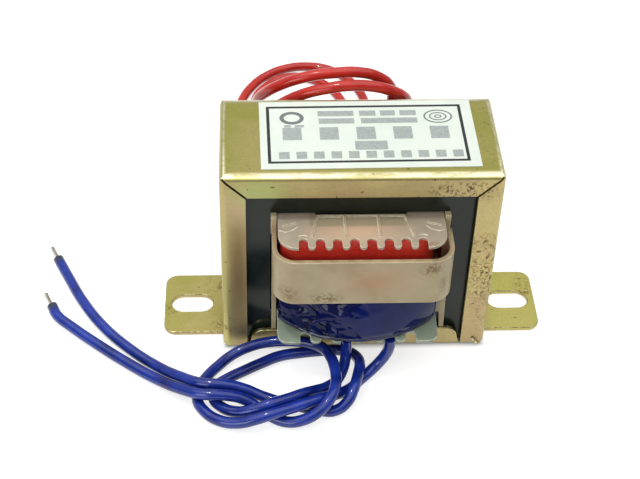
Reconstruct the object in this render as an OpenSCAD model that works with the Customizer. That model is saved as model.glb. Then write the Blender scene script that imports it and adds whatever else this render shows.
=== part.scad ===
// Laminated chassis transformer: an EI steel core held by a pressed cover and a
// footed base strap, with two bobbins in a moulded shroud and four flying leads.
// Millimetres. Origin at the middle of the base's underside, +Z up, front at -Y.

/* [Core] */
// Width of the centre leg of an E sheet
tongue_w = 19; // [17:0.5:22]
// Width of a winding window, centre leg to outer leg
window_w = 9.5; // [8.5:0.5:12]
// Height of a winding window
window_h = 28.5; // [27:0.5:34]
// Width of an outer leg
leg_w = 9.5; // [8:0.5:12]
// Height of the yokes above and below the windows
yoke_h = 9.5; // [8:0.5:12]
// Thickness of one sheet
sheet_t = 0.5; // [0.35:0.05:0.55]
// Number of sheets in the stack
sheet_count = 47; // [41:2:51]

/* [Cover] */
// Thickness of the plated steel of the cover and the base
plate_t = 1; // [0.8:0.1:1.4]
// Gap between the stack's face and a flange
flange_gap = 0.85; // [0.5:0.05:1.2]
// Clearance over the stack, under the cover's top
cover_rise = 0.5; // [0.1:0.05:0.8]
// Height of the flanges along the top
top_flange_h = 5.4; // [4:0.1:7]
// Width of the upright flanges
side_flange_w = 5.4; // [4:0.1:7]
// Outside radius of the bends
bend_r = 1.5; // [1.4:0.1:2]
// How far from the front and the back the cover's top starts to round off
edge_run = 2.2; // [1.5:0.1:2.5]
// How far the top drops over that rounding
edge_fall = 1; // [0.8:0.1:1.5]
// Width of the slit where two flanges meet
mitre_gap = 0.5; // [0.3:0.1:1]
// Length of the tabs that pass through the base
tab_l = 10; // [6:0.5:14]

/* [Base] */
// Distance from the cover's side to the near end of a mounting slot
slot_offset = 2.5; // [2:0.25:6]
// End-to-end length of a mounting slot
slot_l = 9.5; // [8:0.25:12]
// Width of a mounting slot
slot_w = 5.5; // [4:0.1:6]
// Metal left beyond the far end of a slot
foot_edge = 1.6; // [1.4:0.1:4]
// Front-to-back size of the feet
foot_d = 18.6; // [16:0.2:24]
// Corner radius of the feet
foot_r = 2.75; // [1:0.25:4]
// Height of the turned-up lips
lip_h = 5.6; // [4:0.1:7]
// Corner radius of the lips
lip_r = 2.75; // [1:0.25:3]
// Gap between a lip and the cover's flange
lip_gap = 0.1; // [0.1:0.05:0.5]
// Running clearance around a tab
tab_gap = 0.1; // [0.05:0.05:0.3]

/* [Shroud] */
// Clearance between the shroud and the core
shroud_gap = 0.3; // [0.1:0.05:0.5]
// Wall of the shroud
shroud_wall = 1; // [0.8:0.1:1.2]
// Thickness of the shroud's floor
shroud_floor = 0.8; // [0.6:0.1:1.2]
// Front-to-back size of the shroud's bands
band_d = 45; // [44:0.5:48]
// Corner radius of the bands
band_r = 5; // [3:0.5:6]
// Distance from the band's top to the upper comb
band_drop = 3.4; // [1.5:0.1:4]
// How far the side walls stand out of the core
strip_out = 1.5; // [1:0.1:2]
// How far the strips hang below the window
strip_below = 4.7; // [2:0.1:5]
// How far the strips rise above the window
strip_above = 0.2; // [0:0.1:3]
// How far the foot of the right front strip leans out
strip_flare = 1.2; // [0:0.1:1.5]
// Step on the strips above the band
strip_step = 0.2; // [0.1:0.1:0.8]
// How far the front band bows out on the right
right_bow = 0.8; // [0:0.1:1]

/* [Bobbins] */
// Clearance between a bobbin and the centre leg
leg_gap = 0.15; // [0.1:0.05:0.3]
// Clearance between a bobbin and the shroud
bobbin_gap = 0.2; // [0.1:0.05:0.4]
// Wall of a bobbin's tube
tube_wall = 0.8; // [0.6:0.1:1.1]
// Thickness of the combed flanges
comb_t = 0.7; // [0.6:0.1:1.4]
// Thickness of the inner flanges
inner_flange_t = 0.8; // [0.6:0.1:1.2]
// How far the inner flanges stop short of the shroud, at the sides
inner_side_gap = 0.5; // [0.3:0.1:1]
// How far the inner flanges stop short of the band's face, front and back
inner_front_gap = 4.5; // [2:0.25:5]
// Gap under the lower bobbin
seat_gap = 0.2; // [0.1:0.05:0.4]
// Height of the lower bobbin
lower_h = 12; // [11:0.25:13]
// Gap between the upper comb and the top yoke
comb_gap = 0.4; // [0.2:0.1:2]
// How far the upper comb's edge lies behind the band's face
comb_inset = 0.2; // [0.1:0.1:1]
// Corner radius of the upper comb
comb_r = 4; // [2:0.25:4.25]
// Number of notches in one edge of the upper comb
notches = 8; // [6:2:8]
// Pitch of the upper notches
notch_pitch = 3.53; // [3.2:0.01:3.7]
// Width of an upper notch
notch_w = 2; // [1.6:0.1:2.4]
// Depth of an upper notch
notch_l = 2.9; // [2:0.1:3]
// How far the lower comb stands out past the band's face
low_comb_out = 0.4; // [0:0.1:0.8]
// Number of notches in one edge of the lower comb
low_notches = 6; // [4:2:6]
// Pitch of the lower notches
low_pitch = 4.6; // [4:0.1:4.8]
// Width of a lower notch
low_notch_w = 2.2; // [1.6:0.1:2.4]
// Depth of a lower notch
low_notch_l = 3; // [2.5:0.1:3.5]
// Corner radius of the lower comb's end tabs
low_comb_r = 2.4; // [1:0.1:2.5]
// Height of the ribs on the upper comb
rib_h = 0.4; // [0.2:0.1:0.6]
// Width of a rib
rib_w = 0.5; // [0.3:0.1:0.8]

/* [Windings] */
// Thickness of the tape wraps
tape_t = 0.4; // [0.2:0.05:0.8]
// Clearance between a winding and its tape
tape_gap = 0.05; // [0.05:0.01:0.1]
// Gap between the primary tape and the shroud's side walls
red_side_gap = 1.5; // [0.3:0.1:2]
// How far the primary's wraps sit to the left of the middle
red_shift = 0.8; // [0:0.1:1]
// Gap between the primary tape and the band's inside, front and back
red_front_gap = 1.7; // [1:0.1:2.5]
// Corner radius of the primary tape
red_r = 4; // [2:0.25:5]
// Gap between the secondary tape and the shroud's side walls
blue_side_gap = 0.4; // [0.3:0.1:1.2]
// How far the secondary tape's belly stands out past the band's face
belly_out = 1; // [0.2:0.1:1.4]
// How far the belly draws in towards the top
blue_draw = 2.1; // [1.5:0.1:3]

/* [Label] */
// Width of the label
label_w = 45.6; // [40:0.2:50]
// Front-to-back size of the label
label_d = 22.6; // [18:0.2:23]
// Thickness of the label
label_t = 0.15; // [0.1:0.01:0.3]
// Turn of the label on the cover, in degrees
label_turn = 0.7; // [0:0.1:1]

/* [Leads] */
// Diameter over the insulation
lead_d = 2.5; // [2:0.1:2.5]
// Diameter of the stripped conductor
wire_d = 0.9; // [0.6:0.1:1.2]
// Length of the stripped conductor
bare_l = 4.5; // [3:0.5:8]

/* [Hidden] */
// Curve fineness and a small overshoot for cuts
fine = 48;
cut = 1;
// Core
stack_d = sheet_t * sheet_count;
core_w = tongue_w + 2 * (window_w + leg_w);
core_h = window_h + 2 * yoke_h;
window_x = tongue_w / 2 + window_w;
window_z = plate_t + yoke_h;
window_top = window_z + window_h;
core_top = plate_t + core_h;
// Cover and base
cover_w = core_w + 2 * plate_t;
cover_d = stack_d + 2 * (flange_gap + plate_t);
cover_top = core_top + cover_rise + plate_t;
bend_in = min(bend_r - plate_t, flange_gap);
lip_w = cover_w - 2 * (side_flange_w + lip_gap);
slot_x = cover_w / 2 + slot_offset + slot_l / 2;
foot_w = 2 * (slot_x + slot_l / 2 + foot_edge);
lip_taper = 0.8;
// Shroud and bobbins, from the lower end of the windows up
shroud_x = window_x - shroud_gap;
shroud_in = shroud_x - shroud_wall;
comb_w = 2 * (shroud_in - bobbin_gap);
lower_z = window_z + seat_gap;
floor_z = lower_z + lower_h;
upper_z = floor_z + shroud_floor;
comb_top = window_top - comb_gap;
band_h = comb_top - comb_t - band_drop - floor_z;
hole_w = tongue_w + 2 * leg_gap;
hole_d = stack_d + 2 * leg_gap;
tube_w = hole_w + 2 * tube_wall;
tube_d = hole_d + 2 * tube_wall;
comb_d = band_d - 2 * comb_inset;
low_comb_d = band_d + 2 * low_comb_out;
inner_w = 2 * (shroud_in - inner_side_gap);
inner_d = band_d - 2 * inner_front_gap;
strip_d = stack_d + 2 * strip_out;
strip_clear = 0.1;
// Windings
red_w = 2 * (shroud_in - red_side_gap);
red_d = band_d - 2 * (shroud_wall + red_front_gap);
blue_w = 2 * (shroud_in - blue_side_gap);
blue_d = band_d + 2 * belly_out;
red_z = upper_z + inner_flange_t;
red_top = comb_top - comb_t;
blue_z = lower_z + comb_t;
blue_top = floor_z - inner_flange_t;
// Label centre on the cover
label_x = 1.8;
label_y = 0.6;

// Places where the leads leave the notches, and their routes to the stripped ends
lead_z = 1.3;
blue_route_1 = [
    [-2.5, -21.5, lower_z], [-2.5, -21.5, 8.5], [-2.6, -22, 5.6], [-3.2, -23.5, 3.2],
    [-4.6, -25.4, 1.8], [-6.8, -27.2, 1.7], [-9.5, -29, 2.6], [-12, -30.8, 3.8],
    [-15, -32.5, 4.3], [-19, -34, 4.3], [-23, -34.6, 3.1], [-26.5, -34, 1.8],
    [-29.7, -32.2, lead_z], [-31.6, -29.4, lead_z], [-31, -26.3, lead_z],
    [-28.5, -24, lead_z], [-25, -21.8, lead_z], [-21, -19.5, lead_z],
    [-17, -17.5, lead_z], [-12, -16.5, lead_z], [-7.5, -16, lead_z], [-4, -16, 1.5],
    [-1.2, -17.3, 2], [0.4, -20, 2.9], [0.6, -22.5, 3.7], [0.2, -25, 4.2],
    [-0.4, -27.5, 4.3], [-1.2, -30, 4], [-2.6, -32.4, 2.7], [-5.2, -33.7, 1.4],
    [-9, -33.5, lead_z], [-13, -32.3, lead_z], [-17, -31, lead_z], [-21, -29.4, 1.5],
    [-25, -28.5, 3], [-29, -28.3, 4.2], [-34, -27.8, 4.2], [-38.5, -24.9, 3],
    [-44, -20.3, 1.5], [-51, -14.1, lead_z], [-57, -7.3, lead_z], [-62, 0.5, lead_z],
    [-66, 8.6, lead_z], [-69, 15, lead_z]];
blue_route_2 = [
    [7, -21.5, lower_z], [7, -21.5, 8.5], [6.4, -21.2, 5.6], [5, -21.5, 3.2],
    [3, -22.7, 1.7], [0.7, -24.8, lead_z], [-1.9, -27.8, 1.6], [-5, -30.4, 2.8],
    [-8, -32.3, 3.9], [-11.5, -34.1, 4.4], [-15, -35.5, 4.4], [-19, -36.9, 4.3],
    [-22.5, -37.6, 3.4], [-26.5, -37.3, 2], [-30.5, -35.8, lead_z],
    [-33.5, -33.2, lead_z], [-35, -30, lead_z], [-34.7, -26.6, lead_z],
    [-33, -23.2, lead_z], [-30.5, -20, lead_z], [-27.3, -17.2, 1.8], [-23, -15.8, 3],
    [-18.5, -15.6, 4.1], [-14, -15.9, 4.5], [-10, -17, 4.8], [-7.2, -19, 5.2],
    [-5.9, -21.8, 5.6], [-5.2, -25, 5.9], [-5, -28, 6], [-5.3, -31, 5.9],
    [-6.7, -34.1, 5.3], [-9, -36.1, 3.9], [-12.5, -37, 2.2], [-16, -36.6, lead_z],
    [-19.3, -34.9, lead_z], [-22, -32.6, 1.5], [-25, -31.5, 3], [-29, -31.3, 4.2],
    [-34, -30.9, 4.2], [-38.5, -28.3, 3], [-44, -24, 1.5], [-51, -18.7, lead_z],
    [-58, -12.9, lead_z], [-64, -7.5, lead_z], [-67.6, -3.8, lead_z], [-69, -0.8, lead_z]];
red_route_1 = [
    [12.4, 20.9, comb_top], [12.4, 20.9, 40.5], [12.2, 20, 43.5], [11, 18, 46.8],
    [8, 16.6, 49.4], [4, 16, 51], [-1, 16, 51.3], [-6, 16.2, 50.4],
    [-11.5, 17, 48.2], [-17, 19, 43.5], [-21.5, 23.5, 36], [-24, 29.5, 27],
    [-25.5, 36.5, 17.5], [-26, 44.5, 8.5], [-26.5, 53, 2.5], [-27, 61, lead_z],
    [-26.8, 69, lead_z], [-25.3, 77, lead_z], [-22.5, 83.5, lead_z],
    [-18.5, 88.5, lead_z], [-13, 92, lead_z], [-7, 93, lead_z], [-1, 91.5, lead_z],
    [4, 87, lead_z], [7.5, 80, lead_z], [8.5, 72, lead_z], [8, 64, lead_z]];
red_route_2 = [
    [8.8, 20.9, comb_top], [8.8, 20.9, 40.5], [9, 21.4, 43.5], [8.4, 21.5, 46.8],
    [5.5, 21.3, 49.7], [1, 21, 51.2], [-4, 21, 51.1], [-9.5, 21, 50.3],
    [-15, 21.6, 48], [-19.4, 23.5, 44], [-21.5, 28, 38], [-21.8, 34, 29.5],
    [-21.5, 40, 20.5], [-21, 47, 12], [-20.8, 54.5, 5], [-20.8, 62.5, 1.6],
    [-21.5, 70.5, lead_z], [-21.5, 77.5, lead_z], [-18.5, 83.5, lead_z],
    [-13.5, 87.5, lead_z], [-7.5, 87.5, lead_z], [-2, 84, lead_z],
    [1.5, 78, lead_z], [3, 70.5, lead_z], [3, 62, lead_z]];

// Colours
zinc = [0.68, 0.63, 0.36];
steel = [0.17, 0.19, 0.19];
nylon = [0.80, 0.76, 0.68];
copper = [0.72, 0.38, 0.18];
red = [0.70, 0.12, 0.10];
blue = [0.12, 0.16, 0.60];
tin = [0.75, 0.74, 0.70];

// ---- shared shapes ----

// Rectangle about the origin with round corners
module rounded(w, d, r) {
    square([w - 2 * r, d], center = true);
    square([w, d - 2 * r], center = true);
    for (x = [-1, 1], y = [-1, 1])
        translate([x * (w / 2 - r), y * (d / 2 - r)]) circle(r, $fn = fine);
}

// Rectangle of width w from y = z0 to z1 whose upper corners are round
module arched(w, z0, z1, r, fall = undef) {
    drop = is_undef(fall) ? r : fall;
    translate([-w / 2, z0]) square([w, z1 - drop - z0]);
    translate([-w / 2 + r, z0]) square([w - 2 * r, z1 - z0]);
    if (r > 0)
        for (x = [-1, 1])
            translate([x * (w / 2 - r), z1 - drop])
                polygon([for (i = [0 : fine - 1])
                    [r * cos(360 * i / fine), drop * sin(360 * i / fine)]]);
}

// Stands a shape drawn in X and Z up, with its depth along Y
module along_y(d) {
    rotate([90, 0, 0]) linear_extrude(d, center = true) children();
}

// Lays a shape drawn in Y and Z along X
module along_x(w) {
    rotate([90, 0, 90]) linear_extrude(w, center = true) children();
}

// Hole for the centre leg through a moulding, from z0 to z1
module leg_hole(z0, z1) {
    translate([-hole_w / 2, -hole_d / 2, z0 - cut]) cube([hole_w, hole_d, z1 - z0 + 2 * cut]);
}

// ---- core ----

// One E sheet with its yoke at the bottom, standing on z = 0
module e_sheet() {
    along_y(sheet_t) difference() {
        translate([-core_w / 2, 0]) square([core_w, yoke_h + window_h]);
        for (x = [tongue_w / 2, -tongue_w / 2 - window_w])
            translate([x, yoke_h]) square([window_w, window_h + cut]);
    }
}

// One I sheet standing on z = 0
module i_sheet() {
    along_y(sheet_t) translate([-core_w / 2, 0]) square([core_w, yoke_h]);
}

// Places its child on every second sheet's plane, beginning with sheet number first
module every_second(first) {
    for (i = [first : 2 : sheet_count - 1])
        translate([0, (i + 0.5) * sheet_t - stack_d / 2, 0]) children();
}

module e_laminations_a() {
    color(steel) every_second(0) translate([0, 0, plate_t]) e_sheet();
}

module i_laminations_a() {
    color(steel) every_second(0) translate([0, 0, window_top]) i_sheet();
}

module e_laminations_b() {
    color(steel) every_second(1) translate([0, 0, core_top]) mirror([0, 0, 1]) e_sheet();
}

module i_laminations_b() {
    color(steel) every_second(1) translate([0, 0, plate_t]) i_sheet();
}

// ---- cover and base ----

// Block with round bends, wide w, deep d, from z0 to z1; r_side rounds the side bends
module bent_block(w, d, z0, z1, r_side, r, fall, r_plan) {
    intersection() {
        along_y(d + 2 * cut) arched(w, z0, z1, r_side);
        along_x(w + 2 * cut) arched(d, z0, z1, r, fall);
        translate([0, 0, z0]) linear_extrude(z1 - z0) rounded(w, d, r_plan);
    }
}

module cover() {
    flange_x = cover_w / 2 - side_flange_w;
    flange_z = cover_top - top_flange_h;
    slit_l = norm([side_flange_w, top_flange_h]) - bend_r / 2;
    color(zinc) {
        difference() {
            bent_block(cover_w, cover_d, plate_t, cover_top, bend_r, edge_run, edge_fall,
                bend_r);
            bent_block(core_w, cover_d - 2 * plate_t, plate_t - cut, core_top + cover_rise,
                0, bend_in, bend_in, bend_in);
            translate([-flange_x, -cover_d, plate_t - cut])
                cube([2 * flange_x, 2 * cover_d, flange_z - plate_t + cut]);
            for (x = [-1, 1], y = [-1, 1])
                translate([x * flange_x, y * (cover_d / 2 - plate_t / 2), flange_z])
                    rotate([0, -x * atan2(top_flange_h, side_flange_w), 0])
                        translate([x * (slit_l / 2 - mitre_gap), 0, 0])
                            cube([slit_l + 2 * mitre_gap, plate_t + 2 * bend_in, mitre_gap],
                                center = true);
        }
        for (x = [-1, 1])
            translate([x * (core_w + plate_t) / 2 - plate_t / 2, -tab_l / 2, 0])
                cube([plate_t, tab_l, 2 * plate_t]);
    }
}

module base_strap() {
    slot_reach = (slot_l - slot_w) / 2;
    color(zinc) {
        difference() {
            union() {
                linear_extrude(plate_t) rounded(foot_w, foot_d, foot_r);
                intersection() {
                    along_x(2 * lip_w) difference() {
                        translate([0, lip_h]) rotate(180) arched(cover_d, 0, lip_h, bend_r);
                        translate([0, lip_h + plate_t]) rotate(180)
                            arched(cover_d - 2 * plate_t, 0, lip_h, bend_in);
                    }
                    along_y(2 * cover_d) lip_outline();
                }
            }
            for (x = [-1, 1]) {
                translate([x * slot_x, 0, -cut]) {
                    for (e = [-1, 1])
                        translate([e * slot_reach, 0, 0])
                            cylinder(h = plate_t + 2 * cut, d = slot_w, $fn = fine);
                    translate([-slot_reach, -slot_w / 2, 0])
                        cube([2 * slot_reach, slot_w, plate_t + 2 * cut]);
                }
                translate([x * (core_w + plate_t) / 2, 0, plate_t / 2])
                    cube([plate_t + 2 * tab_gap, tab_l + 2 * tab_gap, plate_t + cut], center = true);
            }
        }
    }
}

// Front view of the wide middle of the base: sides leaning in, upper corners round
module lip_outline() {
    top_x = lip_w / 2 - lip_taper;
    polygon([[-lip_w / 2, 0], [lip_w / 2, 0], [top_x, lip_h - lip_r], [-top_x, lip_h - lip_r]]);
    translate([-top_x + lip_r, lip_h - lip_r - cut]) square([2 * (top_x - lip_r), lip_r + cut]);
    for (x = [-1, 1])
        translate([x * (top_x - lip_r), lip_h - lip_r]) circle(lip_r, $fn = fine);
}

// ---- mouldings ----

// One upright strip of the shroud in front of or behind the core, seen from the front
module strip(flare, bow) {
    bottom = window_z - strip_below;
    top = window_top + strip_above;
    polygon([[shroud_in + flare, bottom], [shroud_x + flare, bottom],
        [shroud_x + bow, floor_z], [shroud_x + bow, floor_z + band_h],
        [shroud_x + strip_step, floor_z + band_h], [shroud_x + strip_step, top],
        [shroud_in, top], [shroud_in, floor_z]]);
}

// Outline of the band drawn in by inset, bowed out at the front on the right
module band_outline(inset) {
    half_w = shroud_x - inset;
    rounded(2 * half_w, band_d - 2 * inset, band_r - inset);
    intersection() {
        translate([right_bow, 0]) rounded(2 * half_w, band_d - 2 * inset, band_r - inset);
        translate([0, -band_d]) square([band_d, band_d - stack_d / 2 - strip_clear]);
    }
}

module shroud() {
    strip_t = strip_out - strip_clear;
    color(nylon) difference() {
        union() {
            translate([0, 0, floor_z]) difference() {
                linear_extrude(band_h) band_outline(0);
                translate([0, 0, shroud_floor]) linear_extrude(band_h)
                    band_outline(shroud_wall);
            }
            for (x = [-1, 1]) {
                translate([x * (shroud_in + shroud_wall / 2) - shroud_wall / 2, -strip_d / 2,
                        window_z + strip_clear])
                    cube([shroud_wall, strip_d, window_h - 2 * strip_clear]);
                for (y = [-1, 1])
                    translate([0, y * (strip_d - strip_t) / 2, 0])
                        along_y(strip_t) mirror([(1 - x) / 2, 0])
                            strip(x > 0 && y < 0 ? strip_flare : 0,
                                x > 0 && y < 0 ? right_bow : 0);
            }
        }
        leg_hole(floor_z, floor_z + shroud_floor);
    }
}

// Combed flange seen from above: w by d with notches in its front and back edges
module comb(w, d, r, count, pitch, notch, depth) {
    root = d / 2 - depth;
    tooth = pitch - notch;
    last = (count / 2 - 0.5) * pitch + notch / 2;
    difference() {
        rounded(w, d, r);
        for (y = [-1, 1]) {
            translate([-last, y > 0 ? root + notch / 2 : -d / 2 - cut])
                square([2 * last, depth - notch / 2 + cut]);
            for (i = [0 : count - 1])
                translate([(i - (count - 1) / 2) * pitch, y * (root + notch / 2)])
                    circle(d = notch, $fn = fine);
        }
    }
    for (y = [-1, 1], i = [1 : count - 1])
        translate([(i - count / 2) * pitch, 0]) {
            translate([-tooth / 2, y > 0 ? root + notch / 2 : -d / 2 + tooth / 2])
                square([tooth, depth - notch / 2 - tooth / 2]);
            translate([0, y * (d / 2 - tooth / 2)]) circle(d = tooth, $fn = fine);
        }
}

// A straight rib on the upper comb from point a to point b
module rib(a, b) {
    run = b - a;
    translate([a.x, a.y, comb_top - cut / 2])
        rotate(atan2(run.y, run.x))
            translate([0, -rib_w / 2, 0]) cube([norm(run), rib_w, rib_h + cut / 2]);
}

// Ribs of one edge of the upper comb: two straight ribs between two that lean out
module comb_ribs() {
    rib_back = stack_d / 2 + flange_gap;
    rib_front = comb_d / 2 - notch_l - rib_w;
    for (x = [-1, 1]) {
        rib([x * notch_pitch, -rib_back], [x * notch_pitch, -rib_front]);
        rib([x * 2.6 * notch_pitch, -rib_back], [x * 3 * notch_pitch, -rib_front]);
        rib([x * 3.9 * notch_pitch, -rib_back - 2], [x * (comb_w / 2 - 1), -rib_back - 3]);
    }
    rib([-2.6 * notch_pitch, -rib_back], [2.6 * notch_pitch, -rib_back]);
}

module primary_bobbin() {
    color(nylon) difference() {
        union() {
            translate([0, 0, comb_top - comb_t]) linear_extrude(comb_t)
                comb(comb_w, comb_d, comb_r, notches, notch_pitch, notch_w, notch_l);
            comb_ribs();
            mirror([0, 1, 0]) comb_ribs();
            translate([0, 0, upper_z]) {
                linear_extrude(inner_flange_t) square([inner_w, inner_d], center = true);
                linear_extrude(comb_top - comb_t / 2 - upper_z)
                    square([tube_w, tube_d], center = true);
            }
        }
        leg_hole(upper_z, comb_top);
    }
}

module secondary_bobbin() {
    color(nylon) difference() {
        translate([0, 0, lower_z]) {
            linear_extrude(comb_t)
                comb(comb_w, low_comb_d, low_comb_r, low_notches, low_pitch,
                    low_notch_w, low_notch_l);
            linear_extrude(lower_h) square([tube_w, tube_d], center = true);
            translate([0, 0, lower_h - inner_flange_t])
                linear_extrude(inner_flange_t) square([inner_w, inner_d], center = true);
        }
        leg_hole(lower_z, floor_z);
    }
}

// ---- windings and tape ----

// Room that a bobbin's tube takes inside its winding, from z0 to z1
module tube_room(z0, z1) {
    translate([-tube_w / 2, -tube_d / 2, z0 - cut]) cube([tube_w, tube_d, z1 - z0 + 2 * cut]);
}

// Primary coil drawn in by inset from the outside of its tape
module red_body(inset, z0, z1) {
    translate([-red_shift, 0, z0]) linear_extrude(z1 - z0)
        rounded(red_w - 2 * inset, red_d - 2 * inset, red_r - inset);
}

module primary_winding() {
    color(copper) difference() {
        red_body(tape_t + tape_gap, red_z, red_top);
        tube_room(red_z, red_top);
    }
}

module primary_tape() {
    color(red) difference() {
        red_body(0, red_z, red_top);
        red_body(tape_t, red_z - cut, red_top + cut);
    }
}

// Secondary coil drawn in by inset: a round belly, flat where the core's legs pass
module blue_body(inset) {
    r = blue_d / 2 - inset;
    h = blue_top - blue_z;
    belly = [for (i = [0 : 8]) [r - blue_draw * (1 - cos(i * 90 / 8)), h * (0.15 + 0.85 * i / 8)]];
    intersection() {
        translate([0, 0, blue_z]) rotate_extrude($fn = 96)
            polygon(concat([[0, 0], [r - 0.5, 0]], belly, [[0, h]]));
        translate([0, 0, (blue_z + blue_top) / 2])
            cube([blue_w - 2 * inset, blue_d, h + 2 * cut], center = true);
    }
}

module secondary_winding() {
    color(copper) difference() {
        blue_body(tape_t + tape_gap);
        tube_room(blue_z, blue_top);
    }
}

module secondary_tape() {
    color(blue) difference() {
        blue_body(0);
        blue_body(tape_t);
    }
}

module label() {
    color([0.93, 0.95, 0.90])
        translate([label_x, label_y, cover_top]) rotate(label_turn)
            linear_extrude(label_t) square([label_w, label_d], center = true);
}

// ---- leads ----

function unit(v) = v / norm(v);

// Direction of a route at point i, along its first and last pieces at the ends
function heading(p, i) =
    unit(p[min(i + 1, len(p) - 1)] - p[max(i - 1, 0)]);

// Side directions carried along the route without twist
function sides(p, n, i = 0) =
    i == len(p) ? [] :
    let (t = heading(p, i), m = unit(n - t * (n * t)))
    concat([m], sides(p, m, i + 1));

// Tube of diameter d along the points p, as one closed solid
module lead(p, d) {
    around = 8;
    side = sides(p, [1, 0.2, 0]);
    rings = [for (i = [0 : len(p) - 1])
        let (t = heading(p, i), n = side[i], b = cross(t, n))
        for (k = [0 : around - 1])
            p[i] + d / 2 * (cos(360 * k / around) * n + sin(360 * k / around) * b)];
    walls = [for (i = [0 : len(p) - 2], k = [0 : around - 1])
        let (a = i * around + k, b = i * around + (k + 1) % around)
        each [[a, a + around, b + around], [a, b + around, b]]];
    last = (len(p) - 1) * around;
    polyhedron(rings, concat(walls, [
        [for (k = [0 : around - 1]) k],
        [for (k = [around - 1 : -1 : 0]) last + k]]));
}

// Stripped conductor beyond the end of a route
module conductor(p) {
    end = p[len(p) - 1];
    dir = heading(p, len(p) - 1);
    color(tin) translate(end)
        rotate([0, acos(dir.z), atan2(dir.y, dir.x)])
            cylinder(h = bare_l, d = wire_d, $fn = 24);
}

module blue_lead_1() { color(blue) lead(blue_route_1, lead_d); }
module blue_lead_2() { color(blue) lead(blue_route_2, lead_d); }
module red_lead_1() { color(red) lead(red_route_1, lead_d); }
module red_lead_2() { color(red) lead(red_route_2, lead_d); }
module blue_conductor_1() { conductor(blue_route_1); }
module blue_conductor_2() { conductor(blue_route_2); }
module red_conductor_1() { conductor(red_route_1); }
module red_conductor_2() { conductor(red_route_2); }

cover();
base_strap();
e_laminations_a();
e_laminations_b();
i_laminations_a();
i_laminations_b();
shroud();
primary_bobbin();
secondary_bobbin();
primary_winding();
primary_tape();
secondary_winding();
secondary_tape();
label();
blue_lead_1();
blue_lead_2();
red_lead_1();
red_lead_2();
blue_conductor_1();
blue_conductor_2();
red_conductor_1();
red_conductor_2();
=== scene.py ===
import math

import bmesh
import bpy
from mathutils import Matrix, Vector, noise


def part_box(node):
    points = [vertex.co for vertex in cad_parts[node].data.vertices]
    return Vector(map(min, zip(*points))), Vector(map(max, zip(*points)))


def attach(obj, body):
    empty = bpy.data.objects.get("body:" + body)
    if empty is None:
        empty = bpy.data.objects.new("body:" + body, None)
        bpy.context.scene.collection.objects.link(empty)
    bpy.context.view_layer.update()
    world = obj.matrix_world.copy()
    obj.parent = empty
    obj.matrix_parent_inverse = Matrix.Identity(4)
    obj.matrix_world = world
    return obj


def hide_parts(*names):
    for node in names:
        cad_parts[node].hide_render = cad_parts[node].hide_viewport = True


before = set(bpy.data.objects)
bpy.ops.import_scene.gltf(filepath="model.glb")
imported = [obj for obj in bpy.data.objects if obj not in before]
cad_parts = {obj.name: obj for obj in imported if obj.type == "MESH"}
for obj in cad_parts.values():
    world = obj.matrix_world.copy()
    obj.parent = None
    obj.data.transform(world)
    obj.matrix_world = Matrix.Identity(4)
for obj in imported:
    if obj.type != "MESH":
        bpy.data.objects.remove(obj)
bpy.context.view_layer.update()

MM = 0.001
# Leads: width over the insulation, and length of the stripped end
LEAD_D = 2.5 * MM
BARE_L = 4.5 * MM
# Camera: lens in mm, then turn, downward tilt and roll in degrees, and place in mm
CAMERA_LENS = 80.09
CAMERA_TURN = -3.72
CAMERA_DOWN = 42.46
CAMERA_ROLL = 1.93
CAMERA_PLACE = (-22.9, -234.76, 235.82)
# Middles and sizes in mm of the rubbed places on the plating
SCUFFS = (
    ((27, -13, 22), (4, 3, 12)), ((27, -13, 31), (4, 3, 4)), ((22, 0, 49.5), (6, 9, 2)),
    ((-42, -2, 1), (3, 3, 2)), ((-31, -8, 1), (2, 3, 2)), ((-30, 6, 2), (2, 4, 4)),
    ((-28, -13, 6), (2, 2, 2)), ((41, 4, 1), (3, 6, 2)))
# Middles and sizes in mm of the creased places on the plating
CREASES = (
    ((26, 6, 49.5), (4, 7, 2)), ((26, -6, 49.5), (3, 5, 2)), ((-32, 6, 1), (2.5, 4, 2)),
    ((-31, -6, 1), (2, 4, 2)), ((28, -13, 12), (3, 2, 8)))
# Tinted places on the left flange, partly plating tone and partly painted light (the bright strip at its
# outer edge is a painted reflection, the dark brown middle partly painted shade): middle and size in mm,
# soft share, strength, 8-bit colour
FLANGE_TINTS_AND_REFLECTIONS = (
    ((-25.8, -13.5, 25), (3.4, 3, 24), 0.8, 0.9, (130, 108, 72)),
    ((-25, -13.5, 42), (5, 3, 7), 0.8, 0.6, (196, 176, 140)),
    ((-29, -13.5, 12), (1.8, 4, 34), 0.7, 0.8, (190, 182, 114)),
    ((-21, -13.5, 46), (8, 3, 5), 0.8, 0.85, (170, 180, 112)))
# Middles and sizes in mm of the stains on the nylon
STAINS = (
    ((14.5, -22.5, 32.5), (3.2, 3, 2.6)), ((-7.5, -22.5, 24.4), (4.5, 3, 2)),
    ((-15, -21, 25.5), (3, 3, 3)), ((17, -20, 27), (1.5, 3, 4)),
    ((14, -21.5, 38), (2.5, 1.5, 1.5)))
# Blue tape: depth in mm of its long soft folds, of its facets, and of both together
SOFT_FOLD = 0.1
FACET_FOLD = 0.32
DEEPEST_FOLD = 0.42
# Light: the bright tent overhead, the room's two sides, and what lifts the floor to white
TENT_LIGHT = 1.7
ROOM_FRONT = 0.28
ROOM_BACK = 0.6
FLOOR_LIFT = 0.72

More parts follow.
